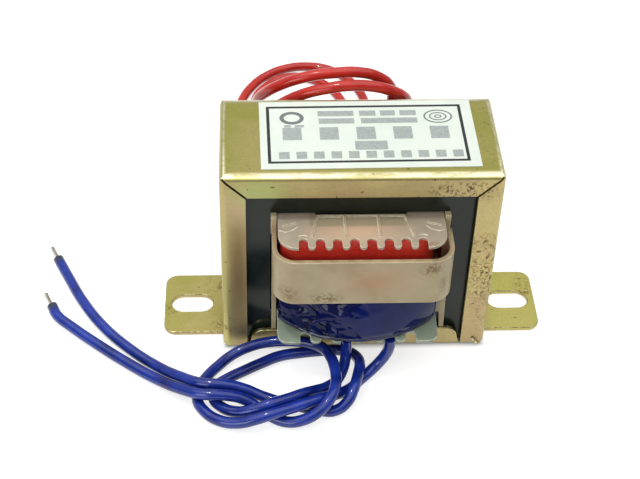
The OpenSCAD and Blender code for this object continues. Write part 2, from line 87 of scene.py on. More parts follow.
# Routes of the leads, as in the part's source, in millimetres
ROUTES = {
    "blue_lead_1": [
        (-2.5, -21.5, 10.7), (-2.5, -21.5, 8.5), (-2.6, -22, 5.6), (-3.2, -23.5, 3.2),
        (-4.6, -25.4, 1.8), (-6.8, -27.2, 1.7), (-9.5, -29, 2.6), (-12, -30.8, 3.8),
        (-15, -32.5, 4.3), (-19, -34, 4.3), (-23, -34.6, 3.1), (-26.5, -34, 1.8),
        (-29.7, -32.2, 1.3), (-31.6, -29.4, 1.3), (-31, -26.3, 1.3), (-28.5, -24, 1.3),
        (-25, -21.8, 1.3), (-21, -19.5, 1.3), (-17, -17.5, 1.3), (-12, -16.5, 1.3),
        (-7.5, -16, 1.3), (-4, -16, 1.5), (-1.2, -17.3, 2), (0.4, -20, 2.9),
        (0.6, -22.5, 3.7), (0.2, -25, 4.2), (-0.4, -27.5, 4.3), (-1.2, -30, 4),
        (-2.6, -32.4, 2.7), (-5.2, -33.7, 1.4), (-9, -33.5, 1.3), (-13, -32.3, 1.3),
        (-17, -31, 1.3), (-21, -29.4, 1.5), (-25, -28.5, 3), (-29, -28.3, 4.2),
        (-34, -27.8, 4.2), (-38.5, -24.9, 3), (-44, -20.3, 1.5), (-51, -14.1, 1.3),
        (-57, -7.3, 1.3), (-62, 0.5, 1.3), (-66, 8.6, 1.3), (-69, 15, 1.3)],
    "blue_lead_2": [
        (7, -21.5, 10.7), (7, -21.5, 8.5), (6.4, -21.2, 5.6), (5, -21.5, 3.2),
        (3, -22.7, 1.7), (0.7, -24.8, 1.3), (-1.9, -27.8, 1.6), (-5, -30.4, 2.8),
        (-8, -32.3, 3.9), (-11.5, -34.1, 4.4), (-15, -35.5, 4.4), (-19, -36.9, 4.3),
        (-22.5, -37.6, 3.4), (-26.5, -37.3, 2), (-30.5, -35.8, 1.3), (-33.5, -33.2, 1.3),
        (-35, -30, 1.3), (-34.7, -26.6, 1.3), (-33, -23.2, 1.3), (-30.5, -20, 1.3),
        (-27.3, -17.2, 1.8), (-23, -15.8, 3), (-18.5, -15.6, 4.1), (-14, -15.9, 4.5),
        (-10, -17, 4.8), (-7.2, -19, 5.2), (-5.9, -21.8, 5.6), (-5.2, -25, 5.9),
        (-5, -28, 6), (-5.3, -31, 5.9), (-6.7, -34.1, 5.3), (-9, -36.1, 3.9),
        (-12.5, -37, 2.2), (-16, -36.6, 1.3), (-19.3, -34.9, 1.3), (-22, -32.6, 1.5),
        (-25, -31.5, 3), (-29, -31.3, 4.2), (-34, -30.9, 4.2), (-38.5, -28.3, 3),
        (-44, -24, 1.5), (-51, -18.7, 1.3), (-58, -12.9, 1.3), (-64, -7.5, 1.3),
        (-67.6, -3.8, 1.3), (-69, -0.8, 1.3)],
    "red_lead_1": [
        (12.4, 20.9, 38.6), (12.4, 20.9, 40.5), (12.2, 20, 43.5), (11, 18, 46.8),
        (8, 16.6, 49.4), (4, 16, 51), (-1, 16, 51.3), (-6, 16.2, 50.4),
        (-11.5, 17, 48.2), (-17, 19, 43.5), (-21.5, 23.5, 36), (-24, 29.5, 27),
        (-25.5, 36.5, 17.5), (-26, 44.5, 8.5), (-26.5, 53, 2.5), (-27, 61, 1.3),
        (-26.8, 69, 1.3), (-25.3, 77, 1.3), (-22.5, 83.5, 1.3), (-18.5, 88.5, 1.3),
        (-13, 92, 1.3), (-7, 93, 1.3), (-1, 91.5, 1.3), (4, 87, 1.3), (7.5, 80, 1.3),
        (8.5, 72, 1.3), (8, 64, 1.3)],
    "red_lead_2": [
        (8.8, 20.9, 38.6), (8.8, 20.9, 40.5), (9, 21.4, 43.5), (8.4, 21.5, 46.8),
        (5.5, 21.3, 49.7), (1, 21, 51.2), (-4, 21, 51.1), (-9.5, 21, 50.3),
        (-15, 21.6, 48), (-19.4, 23.5, 44), (-21.5, 28, 38), (-21.8, 34, 29.5),
        (-21.5, 40, 20.5), (-21, 47, 12), (-20.8, 54.5, 5), (-20.8, 62.5, 1.6),
        (-21.5, 70.5, 1.3), (-21.5, 77.5, 1.3), (-18.5, 83.5, 1.3), (-13.5, 87.5, 1.3),
        (-7.5, 87.5, 1.3), (-2, 84, 1.3), (1.5, 78, 1.3), (3, 70.5, 1.3), (3, 62, 1.3)],
}


# ---- camera, light and floor ----

def make_camera():
    """Camera at the photograph's viewing angle."""
    data = bpy.data.cameras.new("camera")
    data.lens = CAMERA_LENS
    data.sensor_width = 36
    data.clip_start = 0.01
    camera = bpy.data.objects.new("camera", data)
    bpy.context.scene.collection.objects.link(camera)
    turn = Matrix.Rotation(math.radians(CAMERA_TURN), 4, "Z")
    tilt = Matrix.Rotation(math.radians(90 - CAMERA_DOWN), 4, "X")
    roll = Matrix.Rotation(math.radians(CAMERA_ROLL), 4, "Z")
    place = Matrix.Translation(Vector(CAMERA_PLACE) * MM)
    camera.matrix_world = place @ turn @ tilt @ roll
    bpy.context.scene.camera = camera


# ---- node helpers ----

def srgb(r, g, b):
    """Linear colour of an 8-bit colour."""
    def linear(c):
        c /= 255
        return c / 12.92 if c <= 0.04045 else ((c + 0.055) / 1.055) ** 2.4
    return (linear(r), linear(g), linear(b), 1)


def add(tree, kind, inputs=None, **props):
    """Node of that kind. Inputs are values or sockets, by name or number."""
    node = tree.nodes.new(kind)
    for key, value in props.items():
        setattr(node, key, value)
    for key, value in (inputs or {}).items():
        if isinstance(value, bpy.types.NodeSocket):
            tree.links.new(value, node.inputs[key])
        else:
            node.inputs[key].default_value = value
    return node


def math_node(tree, operation, *values, clamp=False):
    node = add(tree, "ShaderNodeMath", dict(enumerate(values)), operation=operation)
    node.use_clamp = clamp
    return node.outputs[0]


def noise_node(tree, vector, scale, detail=3, rough=0.5, distortion=0):
    node = add(tree, "ShaderNodeTexNoise", {
        "Vector": vector, "Scale": scale, "Detail": detail,
        "Roughness": rough, "Distortion": distortion})
    return node.outputs["Fac"]


def ramp(tree, factor, low, high, to_low=0.0, to_high=1.0):
    """Factor from low to high as to_low to to_high, held at the ends."""
    node = add(tree, "ShaderNodeMapRange", {
        "Value": factor, "From Min": low, "From Max": high,
        "To Min": to_low, "To Max": to_high})
    return node.outputs[0]


def mix(tree, factor, a, b, blend="MIX"):
    """Colour from a to b by factor."""
    node = add(tree, "ShaderNodeMix", data_type="RGBA", blend_type=blend)
    for socket, value in ((node.inputs[0], factor), (node.inputs[6], a), (node.inputs[7], b)):
        if isinstance(value, bpy.types.NodeSocket):
            tree.links.new(value, socket)
        else:
            socket.default_value = value
    return node.outputs[2]


def tint(tree, colour, where, share, r, g, b):
    """The colour with a share of an 8-bit colour laid over it where the factor is one."""
    factor = math_node(tree, "MULTIPLY", where, share)
    return mix(tree, factor, colour, srgb(r, g, b))


def stretched(tree, vector, scale):
    node = add(tree, "ShaderNodeVectorMath", {0: vector, 1: scale}, operation="MULTIPLY")
    return node.outputs[0]


def spot(tree, vector, centre, size, edge=0.3):
    """One inside an ellipsoid about centre (both in mm), fading over its outer share."""
    offset = add(tree, "ShaderNodeVectorMath",
                 {0: vector, 1: [c * MM for c in centre]}, operation="SUBTRACT")
    scaled = add(tree, "ShaderNodeVectorMath",
                 {0: offset.outputs[0], 1: [1 / (s * MM) for s in size]}, operation="MULTIPLY")
    length = add(tree, "ShaderNodeVectorMath", {0: scaled.outputs[0]}, operation="LENGTH")
    return ramp(tree, length.outputs["Value"], 1, 1 - edge)


def spots(tree, vector, places, edge):
    """The strongest of several spots, each given by its centre and its size in mm."""
    found = None
    for centre, size in places:
        here = spot(tree, vector, centre, size, edge)
        found = here if found is None else math_node(tree, "MAXIMUM", found, here)
    return found


def new_material(name):
    """Empty node material with its output, its shader and the frame's own coordinates."""
    material = bpy.data.materials.new(name)
    material.use_nodes = True
    tree = material.node_tree
    tree.nodes.clear()
    out = add(tree, "ShaderNodeOutputMaterial")
    shader = add(tree, "ShaderNodeBsdfPrincipled")
    tree.links.new(shader.outputs[0], out.inputs["Surface"])
    coords = add(tree, "ShaderNodeTexCoord").outputs["Object"]
    return material, tree, shader, coords


def bump(tree, shader, height, strength, distance):
    node = add(tree, "ShaderNodeBump", {
        "Strength": strength, "Distance": distance, "Height": height})
    tree.links.new(node.outputs[0], shader.inputs["Normal"])


# ---- materials ----

def plating_colour(tree, at, axes, facing, upright, cloud):
    """Plating before its wear marks: olive where it faces up and straw on the sides, a painted tint of
    the light from above; pinkish to the right.
    """
    drift = noise_node(tree, at, 75, 3, 0.55, 0.9)
    olive = mix(tree, ramp(tree, drift, 0.36, 0.62), srgb(174, 172, 88), srgb(190, 178, 112))
    straw = mix(tree, ramp(tree, cloud, 0.35, 0.7), srgb(188, 172, 120), srgb(176, 158, 112))
    # Painted light: faces turned up get the olive and the sides the straw, as the light from above tints
    # them.
    top_light = ramp(tree, facing.outputs["Z"], 0.2, 0.9)
    colour = mix(tree, top_light, straw, olive)
    right = math_node(tree, "MULTIPLY", upright, ramp(tree, axes.outputs["X"], 20 * MM, 25 * MM))
    colour = tint(tree, colour, right, 0.7, 194, 180, 122)
    pinkish = math_node(tree, "MULTIPLY", right, ramp(tree, cloud, 0.42, 0.6, 0.0, 0.55))
    colour = mix(tree, pinkish, colour, srgb(180, 154, 122))
    foot = ramp(tree, axes.outputs["X"], 29 * MM, 33 * MM)
    colour = tint(tree, colour, foot, 0.5, 206, 202, 108)
    grit = noise_node(tree, at, 1900, 3, 0.7)
    colour = mix(tree, ramp(tree, grit, 0.4, 0.62, 0.0, 0.16), colour, srgb(112, 94, 56))
    # Tints on the left flange: plating tone, painted reflection and painted shade.
    for centre, size, edge, share, shade in FLANGE_TINTS_AND_REFLECTIONS:
        colour = tint(tree, colour, spot(tree, at, centre, size, edge), share, *shade)
    return colour


def painted_bend_highlight(tree, at, facing):
    """Factor of the painted highlight, broken up, where the cover's top bends over."""
    bend = math_node(tree, "MULTIPLY", ramp(tree, facing.outputs["Z"], 0.9995, 0.99),
                     ramp(tree, facing.outputs["Z"], 0.76, 0.88))
    breakup = noise_node(tree, stretched(tree, at, (0.35, 1, 1)), 520, 4, 0.65)
    return math_node(tree, "MULTIPLY", bend, ramp(tree, breakup, 0.38, 0.52, 0.3, 1.0))


def zinc_material():
    """Yellow-passivated steel: drifting hue, roll streaks, scuffs, creases and a little rust, with a
    painted highlight on the top's bend and painted shade in the creases.
    """
    material, tree, shader, at = new_material("yellow_zinc")
    axes = add(tree, "ShaderNodeSeparateXYZ", {0: at})
    normal = add(tree, "ShaderNodeNewGeometry").outputs["Normal"]
    facing = add(tree, "ShaderNodeSeparateXYZ", {0: normal})
    upright = math_node(tree, "LESS_THAN", facing.outputs["Z"], 0.5)
    cloud = noise_node(tree, stretched(tree, at, (1, 1, 0.5)), 90, 3, 0.6, 0.4)
    colour = plating_colour(tree, at, axes, facing, upright, cloud)
    # Painted highlight: the bend of the top is made pale where it would catch the light.
    colour = mix(tree, painted_bend_highlight(tree, at, facing), colour, srgb(228, 222, 190))
    rusty = spot(tree, at, (21, -13.5, 46), (9, 3, 3.5), 0.7)
    flecks = noise_node(tree, at, 1500, 4, 0.65)
    rust = math_node(tree, "MULTIPLY", rusty, ramp(tree, flecks, 0.52, 0.57))
    scuffs = noise_node(tree, stretched(tree, at, (1, 1, 0.8)), 1250, 5, 0.7, 0.8)
    scuffed = spots(tree, at, SCUFFS, 0.6)
    marks = math_node(tree, "MULTIPLY", scuffed, ramp(tree, scuffs, 0.5, 0.6))
    dots = ramp(tree, noise_node(tree, at, 700, 2, 0.5), 0.71, 0.74)
    colour = tint(tree, colour, rust, 0.9, 104, 52, 28)
    colour = tint(tree, colour, marks, 0.8, 112, 74, 40)
    colour = tint(tree, colour, dots, 0.8, 80, 70, 42)
    # Crease lines: dented by the bump, and painted darker as shade in the creases.
    wander = noise_node(tree, at, 150, 2, 0.5, 2.5)
    crease = ramp(tree, math_node(tree, "ABSOLUTE", math_node(tree, "SUBTRACT", wander, 0.5)),
                  0.012, 0.004)
    crease = math_node(tree, "MULTIPLY", crease, spots(tree, at, CREASES, 0.5))
    colour = tint(tree, colour, crease, 0.6, 96, 84, 50)
    tree.links.new(colour, shader.inputs["Base Color"])
    corroded = math_node(tree, "MAXIMUM", rust, math_node(tree, "MULTIPLY", marks, 0.5))
    tree.links.new(ramp(tree, corroded, 0, 1, 0.9, 0.1), shader.inputs["Metallic"])
    streaks = noise_node(tree, stretched(tree, at, (0.08, 1, 1)), 1600, 3, 0.6)
    mottle = math_node(tree, "ADD", streaks, math_node(tree, "MULTIPLY", cloud, 0.4))
    dull = math_node(tree, "MULTIPLY", math_node(tree, "MAXIMUM", marks, rust), 0.3)
    rough = math_node(tree, "ADD", ramp(tree, mottle, 0.4, 1.1, 0.28, 0.38), dull)
    rough = math_node(tree, "ADD", rough, math_node(tree, "MULTIPLY", upright, 0.12))
    tree.links.new(rough, shader.inputs["Roughness"])
    dents = noise_node(tree, at, 260, 4, 0.6)
    height = math_node(tree, "ADD", dents, math_node(tree, "MULTIPLY", streaks, 0.04))
    height = math_node(tree, "SUBTRACT", height, math_node(tree, "MULTIPLY", crease, 0.8))
    bump(tree, shader, height, 0.35, 0.15 * MM)
    return material


def edge_material(name, light, dark, metallic, rough):
    """Edge lighter than the face beside it and broken by nicks: partly rubbed wear, partly a painted
    highlight along the edge.
    """
    material, tree, shader, at = new_material(name)
    nicks = noise_node(tree, at, 900, 4, 0.7)
    colour = mix(tree, ramp(tree, nicks, 0.38, 0.56), dark, light)
    tree.links.new(colour, shader.inputs["Base Color"])
    shader.inputs["Metallic"].default_value = metallic
    tree.links.new(ramp(tree, nicks, 0.3, 0.7, rough + 0.12, rough), shader.inputs["Roughness"])
    bump(tree, shader, nicks, 0.4, 0.1 * MM)
    return material


def steel_material():
    """Varnished transformer sheet: nearly black, with sheet lines on the stack's edges."""
    material, tree, shader, at = new_material("varnished_steel")
    axes = add(tree, "ShaderNodeSeparateXYZ", {0: at})
    cloud = noise_node(tree, at, 120, 3, 0.6)
    colour = mix(tree, ramp(tree, cloud, 0.3, 0.7), srgb(28, 36, 28), srgb(40, 47, 38))
    sheets = math_node(tree, "PINGPONG", math_node(tree, "DIVIDE", axes.outputs["Y"], 0.5 * MM), 0.5)
    facing = add(tree, "ShaderNodeSeparateXYZ",
                 {0: add(tree, "ShaderNodeNewGeometry").outputs["Normal"]})
    side = math_node(tree, "LESS_THAN", math_node(tree, "ABSOLUTE", facing.outputs["Y"]), 0.5)
    line = math_node(tree, "MULTIPLY", side, ramp(tree, sheets, 0.38, 0.3))
    colour = tint(tree, colour, line, 0.5, 66, 64, 58)
    tree.links.new(colour, shader.inputs["Base Color"])
    shader.inputs["Specular IOR Level"].default_value = 0.3
    tree.links.new(ramp(tree, cloud, 0.3, 0.7, 0.12, 0.22), shader.inputs["Roughness"])
    height = math_node(tree, "ADD", noise_node(tree, at, 200, 3, 0.5),
                       math_node(tree, "MULTIPLY", line, 0.4))
    bump(tree, shader, height, 0.15, 0.1 * MM)
    return material


def nylon_material(name, pale, deep, flushed):
    """Natural nylon: milky and translucent, flushed near the red tape, with brown stains and painted
    shade where the dark core lies behind it.
    """
    material, tree, shader, at = new_material(name)
    cloud = noise_node(tree, at, 110, 3, 0.55, 0.5)
    colour = mix(tree, ramp(tree, cloud, 0.35, 0.65), pale, deep)
    blush = spot(tree, at, (3, -23, 29), (11, 6, 6), 0.9)
    colour = tint(tree, colour, blush, flushed, 200, 150, 112)
    blush_top = spot(tree, at, (-1, -17, 38), (14, 6, 3), 0.8)
    colour = tint(tree, colour, blush_top, flushed, 226, 188, 152)
    axes = add(tree, "ShaderNodeSeparateXYZ", {0: at})
    # Painted shade: the comb darkens towards the back, where the dark core lies behind the translucent
    # nylon.
    across = math_node(tree, "ABSOLUTE", math_node(tree, "ADD", axes.outputs["X"], 0.5 * MM))
    core_shade = math_node(tree, "MULTIPLY", ramp(tree, across, 10.6 * MM, 10.2 * MM),
                       ramp(tree, axes.outputs["Y"], -16.0 * MM, -15.4 * MM))
    colour = tint(tree, colour, core_shade, flushed, 156, 146, 116)
    grain = noise_node(tree, at, 1500, 4, 0.7)
    stain = spots(tree, at, STAINS, 0.8)
    stain = math_node(tree, "MULTIPLY", stain, ramp(tree, grain, 0.42, 0.56))
    colour = tint(tree, colour, stain, 0.9, 124, 90, 44)
    specks = ramp(tree, noise_node(tree, at, 620, 2, 0.5), 0.73, 0.77)
    colour = tint(tree, colour, specks, 0.7, 100, 78, 52)
    tree.links.new(colour, shader.inputs["Base Color"])
    shader.inputs["Subsurface Weight"].default_value = 0.35
    shader.inputs["Subsurface Radius"].default_value = (1.0, 0.8, 0.6)
    shader.inputs["Subsurface Scale"].default_value = 1.2 * MM
    tree.links.new(ramp(tree, cloud, 0.3, 0.7, 0.3, 0.42), shader.inputs["Roughness"])
    height = math_node(tree, "ADD", noise_node(tree, at, 300, 3, 0.5),
                       math_node(tree, "MULTIPLY", grain, 0.2))
    bump(tree, shader, height, 0.2, 0.1 * MM)
    return material


def tape_material(name, dark, light, rough, gloss):
    """Polyester film tape: smooth and glossy over wound wire."""
    material, tree, shader, at = new_material(name)
    cloud = noise_node(tree, at, 140, 3, 0.6, 0.8)
    colour = mix(tree, ramp(tree, cloud, 0.35, 0.68), dark, light)
    tree.links.new(colour, shader.inputs["Base Color"])
    fine = noise_node(tree, stretched(tree, at, (1, 1, 3)), 900, 3, 0.6)
    tree.links.new(ramp(tree, fine, 0.3, 0.7, rough, rough + 0.12), shader.inputs["Roughness"])
    shader.inputs["Specular IOR Level"].default_value = gloss
    height = math_node(tree, "ADD", cloud, math_node(tree, "MULTIPLY", fine, 0.008))
    bump(tree, shader, height, 0.15, 0.3 * MM)
    return material


def crumpled_tape_material(name, dark, light):
    """Blue film tape. A bump of slanting ridges, strongest on the left, stands for its crumples; the
    left and the fold valleys are painted darker as shade.
    """
    material, tree, shader, at = new_material(name)
    axes = add(tree, "ShaderNodeSeparateXYZ", {0: at})
    cloud = noise_node(tree, at, 140, 3, 0.6, 0.8)
    colour = mix(tree, ramp(tree, cloud, 0.35, 0.68), dark, light)
    slanted = stretched(tree, at, (1, 0.6, 1.5))
    broad = math_node(tree, "SUBTRACT", noise_node(tree, slanted, 105, 0, 0.5, 0.9), 0.5)
    broad = math_node(tree, "ABSOLUTE", broad)
    small = math_node(tree, "SUBTRACT", noise_node(tree, slanted, 260, 0, 0.5, 0.6), 0.5)
    small = math_node(tree, "ABSOLUTE", small)
    left = ramp(tree, axes.outputs["X"], 3 * MM, -5 * MM, 0.05, 1.0)
    folds = math_node(tree, "ADD", broad, math_node(tree, "MULTIPLY", small, 0.16))
    fold_shade = math_node(tree, "MULTIPLY", left, ramp(tree, broad, 0.09, 0.0))
    # Painted shade: darker on the crumpled left and darker still in the fold valleys.
    colour = tint(tree, colour, left, 0.4, 3, 7, 44)
    colour = tint(tree, colour, fold_shade, 0.6, 2, 4, 24)
    tree.links.new(colour, shader.inputs["Base Color"])
    fine = noise_node(tree, stretched(tree, at, (1, 1, 3)), 900, 3, 0.6)
    tree.links.new(ramp(tree, fine, 0.3, 0.7, 0.05, 0.12), shader.inputs["Roughness"])
    shader.inputs["Specular IOR Level"].default_value = 0.24
    height = math_node(tree, "MULTIPLY", folds, left)
    bump(tree, shader, height, 0.8, 3.4 * MM)
    return material


def insulation_material(name, deep, bright, end):
    """Soft PVC insulation, with a scorched cut end at the point end, in mm."""
    material, tree, shader, at = new_material(name)
    cloud = noise_node(tree, at, 160, 3, 0.6)
    colour = mix(tree, ramp(tree, cloud, 0.3, 0.7), deep, bright)
    scorch = spot(tree, at, end, (2.5, 2.5, 2.5), 0.35)
    colour = tint(tree, colour, scorch, 0.8, 56, 60, 60)
    tree.links.new(colour, shader.inputs["Base Color"])
    grain = noise_node(tree, at, 1300, 3, 0.6)
    tree.links.new(ramp(tree, grain, 0.4, 0.65, 0.07, 0.2), shader.inputs["Roughness"])
    shader.inputs["Specular IOR Level"].default_value = 0.55
    height = math_node(tree, "ADD", math_node(tree, "MULTIPLY", grain, 0.16), cloud)
    bump(tree, shader, height, 0.15, 0.1 * MM)
    return material


def metal_material(name, light, dark, rough):
    """Plain drawn or tinned metal with a fine grain."""
    material, tree, shader, at = new_material(name)
    grain = noise_node(tree, at, 2500, 3, 0.6)
    colour = mix(tree, ramp(tree, grain, 0.35, 0.65), dark, light)
    tree.links.new(colour, shader.inputs["Base Color"])
    shader.inputs["Metallic"].default_value = 1
    tree.links.new(ramp(tree, grain, 0.3, 0.7, rough, rough + 0.2), shader.inputs["Roughness"])
    bump(tree, shader, grain, 0.2, 0.05 * MM)
    return material


def winding_material():
    """Enamelled copper wire lying in turns, seen where no tape covers it."""
    material, tree, shader, at = new_material("enamelled_copper")
    axes = add(tree, "ShaderNodeSeparateXYZ", {0: at})
    turns = math_node(tree, "PINGPONG",
                      math_node(tree, "DIVIDE", axes.outputs["Z"], 0.3 * MM), 0.5)
    # Painted shade: the copper is darkened in narrow lines between the turns.
    colour = mix(tree, ramp(tree, turns, 0.05, 0.3), srgb(96, 46, 24), srgb(190, 104, 60))
    tree.links.new(colour, shader.inputs["Base Color"])
    shader.inputs["Metallic"].default_value = 0.8
    shader.inputs["Roughness"].default_value = 0.3
    bump(tree, shader, turns, 0.6, 0.15 * MM)
    return material


def paper_material():
    """Coated label paper with faint fibres and soft unevenness."""
    material, tree, shader, at = new_material("label_paper")
    cloud = noise_node(tree, at, 130, 3, 0.6)
    colour = mix(tree, ramp(tree, cloud, 0.3, 0.7), srgb(216, 226, 214), srgb(226, 232, 222))
    tree.links.new(colour, shader.inputs["Base Color"])
    fibre = noise_node(tree, stretched(tree, at, (1, 2.5, 1)), 1800, 4, 0.6)
    tree.links.new(ramp(tree, fibre, 0.3, 0.7, 0.38, 0.55), shader.inputs["Roughness"])
    height = math_node(tree, "ADD", math_node(tree, "MULTIPLY", cloud, 2.0),
                       math_node(tree, "MULTIPLY", fibre, 0.2))
    bump(tree, shader, height, 0.15, 0.1 * MM)
    return material


def ink_material(name, light, dark):
    """Printing ink with uneven cover."""
    material, tree, shader, at = new_material(name)
    cover = noise_node(tree, at, 2200, 3, 0.7)
    colour = mix(tree, ramp(tree, cover, 0.35, 0.6), dark, light)
    tree.links.new(colour, shader.inputs["Base Color"])
    shader.inputs["Roughness"].default_value = 0.5
    return material


def floor_material():
    """Pale table, lifted to white for the camera but not beneath the cover.

    To other rays it is dark far in front of the part.
    """
    material, tree, shader, at = new_material("pale_floor")
    tree.nodes.remove(shader)
    speckle = noise_node(tree, at, 60, 2, 0.5)
    colour = mix(tree, speckle, (0.5, 0.5, 0.49, 1), (0.52, 0.52, 0.51, 1))
    path = add(tree, "ShaderNodeLightPath")
    axes = add(tree, "ShaderNodeSeparateXYZ", {0: at})
    beyond = ramp(tree, axes.outputs["Y"], -110 * MM, -200 * MM)
    others = math_node(tree, "SUBTRACT", 1.0, path.outputs["Is Camera Ray"])
    beyond = math_node(tree, "MULTIPLY", beyond, others)
    colour = mix(tree, beyond, colour, (0.05, 0.05, 0.05, 1))
    diffuse = add(tree, "ShaderNodeBsdfDiffuse", {"Color": colour})
    seen = math_node(tree, "MAXIMUM", path.outputs["Is Camera Ray"],
                     math_node(tree, "MAXIMUM", path.outputs["Is Glossy Ray"],
                               path.outputs["Is Transmission Ray"]))
    near = math_node(tree, "SUBTRACT", 1.0, beyond)
    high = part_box("cover")[1]
    out_x = math_node(tree, "SUBTRACT", math_node(tree, "ABSOLUTE", axes.outputs["X"]), high.x)
    out_y = math_node(tree, "SUBTRACT", math_node(tree, "ABSOLUTE", axes.outputs["Y"]), high.y)
    clear = ramp(tree, math_node(tree, "MAXIMUM", out_x, out_y), -1.2 * MM, 0.7 * MM)
    seen = math_node(tree, "MULTIPLY", seen, clear)
    lift = math_node(tree, "MULTIPLY", math_node(tree, "MULTIPLY", seen, near), FLOOR_LIFT)
    glow = add(tree, "ShaderNodeEmission", {"Strength": lift})
    both = add(tree, "ShaderNodeAddShader", {0: diffuse.outputs[0], 1: glow.outputs[0]})
    out = next(n for n in tree.nodes if n.type == "OUTPUT_MATERIAL")
    tree.links.new(both.outputs[0], out.inputs["Surface"])
    return material


def make_world():
    """White to the camera; for light and gloss a bright tent overhead and a room, darker in front."""
    world = bpy.data.worlds.new("studio")
    bpy.context.scene.world = world
    world.use_nodes = True
    tree = world.node_tree
    tree.nodes.clear()
    direction = add(tree, "ShaderNodeTexCoord").outputs["Generated"]
    axes = add(tree, "ShaderNodeSeparateXYZ", {0: direction})
    room = ramp(tree, axes.outputs["Y"], -0.2, 0.15, ROOM_FRONT, ROOM_BACK)
    tent = ramp(tree, axes.outputs["Z"], 0.71, 0.81)
    light = add(tree, "ShaderNodeMix", {0: tent, 2: room, 3: TENT_LIGHT}, data_type="FLOAT")
    path = add(tree, "ShaderNodeLightPath")
    strength = math_node(tree, "MAXIMUM", path.outputs["Is Camera Ray"], light.outputs[0])
    shine = add(tree, "ShaderNodeBackground", {"Color": (1, 1, 1, 1), "Strength": strength})
    out = add(tree, "ShaderNodeOutputWorld")
    tree.links.new(shine.outputs[0], out.inputs["Surface"])


def make_light(name, place, size, power, target=(0, 0, 20)):
    """Square lamp at place that faces target, both in mm. Its size is in metres, its power in watts."""
    data = bpy.data.lights.new(name, "AREA")
    data.shape = "SQUARE"
    data.size = size
    data.energy = power
    lamp = bpy.data.objects.new(name, data)
    bpy.context.scene.collection.objects.link(lamp)
    lamp.location = Vector(place) * MM
    aim = (Vector(target) - Vector(place)).to_track_quat("-Z", "Y")
    lamp.rotation_euler = aim.to_euler()


def make_floor():
    """Large square table just under the part."""
    mesh = bpy.data.meshes.new("floor")
    half = 3.0
    level = -0.06 * MM
    corners = [(-half, -half, level), (half, -half, level), (half, half, level), (-half, half, level)]
    mesh.from_pydata(corners, [], [(0, 1, 2, 3)])
    floor = bpy.data.objects.new("floor", mesh)
    bpy.context.scene.collection.objects.link(floor)
    mesh.materials.append(floor_material())


# ---- mesh helpers ----

def piece(name, data, material, slot, *nodes):
    """Object of the part, riding on its body, that stands for the nodes."""
    obj = bpy.data.objects.new(name, data)
    bpy.context.scene.collection.objects.link(obj)
    data.materials.clear()
    data.materials.append(material)
    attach(obj, "root")
    if nodes:
        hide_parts(*nodes)
    return obj


def ring_faces(rings, around):
    """Faces that join each ring of corners to the next."""
    faces = []
    for i in range(rings - 1):
        for k in range(around):
            a = i * around + k
            b = i * around + (k + 1) % around
            faces.append((a, b, b + around, a + around))
    return faces


def tube(points, radius, around=8):
    """Corners and faces of a closed round tube along the points."""
    points = [Vector(p) for p in points]
    verts = []
    side = Vector((1, 0.2, 0.1))
    for i, point in enumerate(points):
        ahead = points[min(i + 1, len(points) - 1)] - points[max(i - 1, 0)]
        along = ahead.normalized()
        side = (side - along * side.dot(along)).normalized()
        other = along.cross(side)
        size = radius(i / (len(points) - 1)) if callable(radius) else radius
        for k in range(around):
            angle = 2 * math.pi * k / around
            verts.append(point + size * (math.cos(angle) * side + math.sin(angle) * other))
    faces = ring_faces(len(points), around)
    faces.append(tuple(range(around - 1, -1, -1)))
    faces.append(tuple(range(len(verts) - around, len(verts))))
    return verts, faces


def joined(parts):
    """One list of corners and one of faces from several."""
    verts, faces = [], []
    for more_verts, more_faces in parts:
        base = len(verts)
        verts += more_verts
        faces += [tuple(base + i for i in face) for face in more_faces]
    return verts, faces


def mesh_from(name, verts, faces, smooth_angle=40):
    mesh = bpy.data.meshes.new(name)
    mesh.from_pydata([tuple(v) for v in verts], [], faces)
    mesh.update()
    smooth(mesh, smooth_angle)
    return mesh


def smooth(mesh, angle):
    for face in mesh.polygons:
        face.use_smooth = True
    mesh.set_sharp_from_angle(angle=math.radians(angle))


def refined(name, node, material, edge, width, segments=2):
    """The node's own solid with softened edges, lighter in the edge material as wear and painted
    highlight, standing for it. Width is in mm.
    """
    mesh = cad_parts[node].data.copy()
    mesh.name = name
    bm = bmesh.new()
    bm.from_mesh(mesh)
    bmesh.ops.remove_doubles(bm, verts=bm.verts, dist=0.002 * MM)
    bmesh.ops.dissolve_limit(bm, angle_limit=math.radians(0.4), verts=bm.verts, edges=bm.edges)
    for face in bm.faces:
        face.material_index = 0
    bm.to_mesh(mesh)
    bm.free()
    smooth(mesh, 30)
    obj = piece(name, mesh, material, node, node)
    mesh.materials.append(edge)
    soften = obj.modifiers.new("soften", "BEVEL")
    soften.width = width * MM
    soften.segments = segments
    soften.limit_method = "ANGLE"
    soften.angle_limit = math.radians(35)
    soften.material = 1
    weigh = obj.modifiers.new("weigh", "WEIGHTED_NORMAL")
    weigh.keep_sharp = True
    return obj


# ---- leads ----

def make_lead(name, material):
    """Flying lead as one smooth curve through its route's points."""
    curve = bpy.data.curves.new(name, "CURVE")
    curve.dimensions = "3D"
    curve.bevel_depth = LEAD_D / 2
    curve.bevel_resolution = 4
    curve.resolution_u = 6
    curve.use_fill_caps = True
    spline = curve.splines.new("BEZIER")
    route = ROUTES[name]
    spline.bezier_points.add(len(route) - 1)
    for point, place in zip(spline.bezier_points, route):
        point.co = Vector(place) * MM
        point.handle_left_type = point.handle_right_type = "AUTO"
    return piece(name + "_wire", curve, material, name, name)


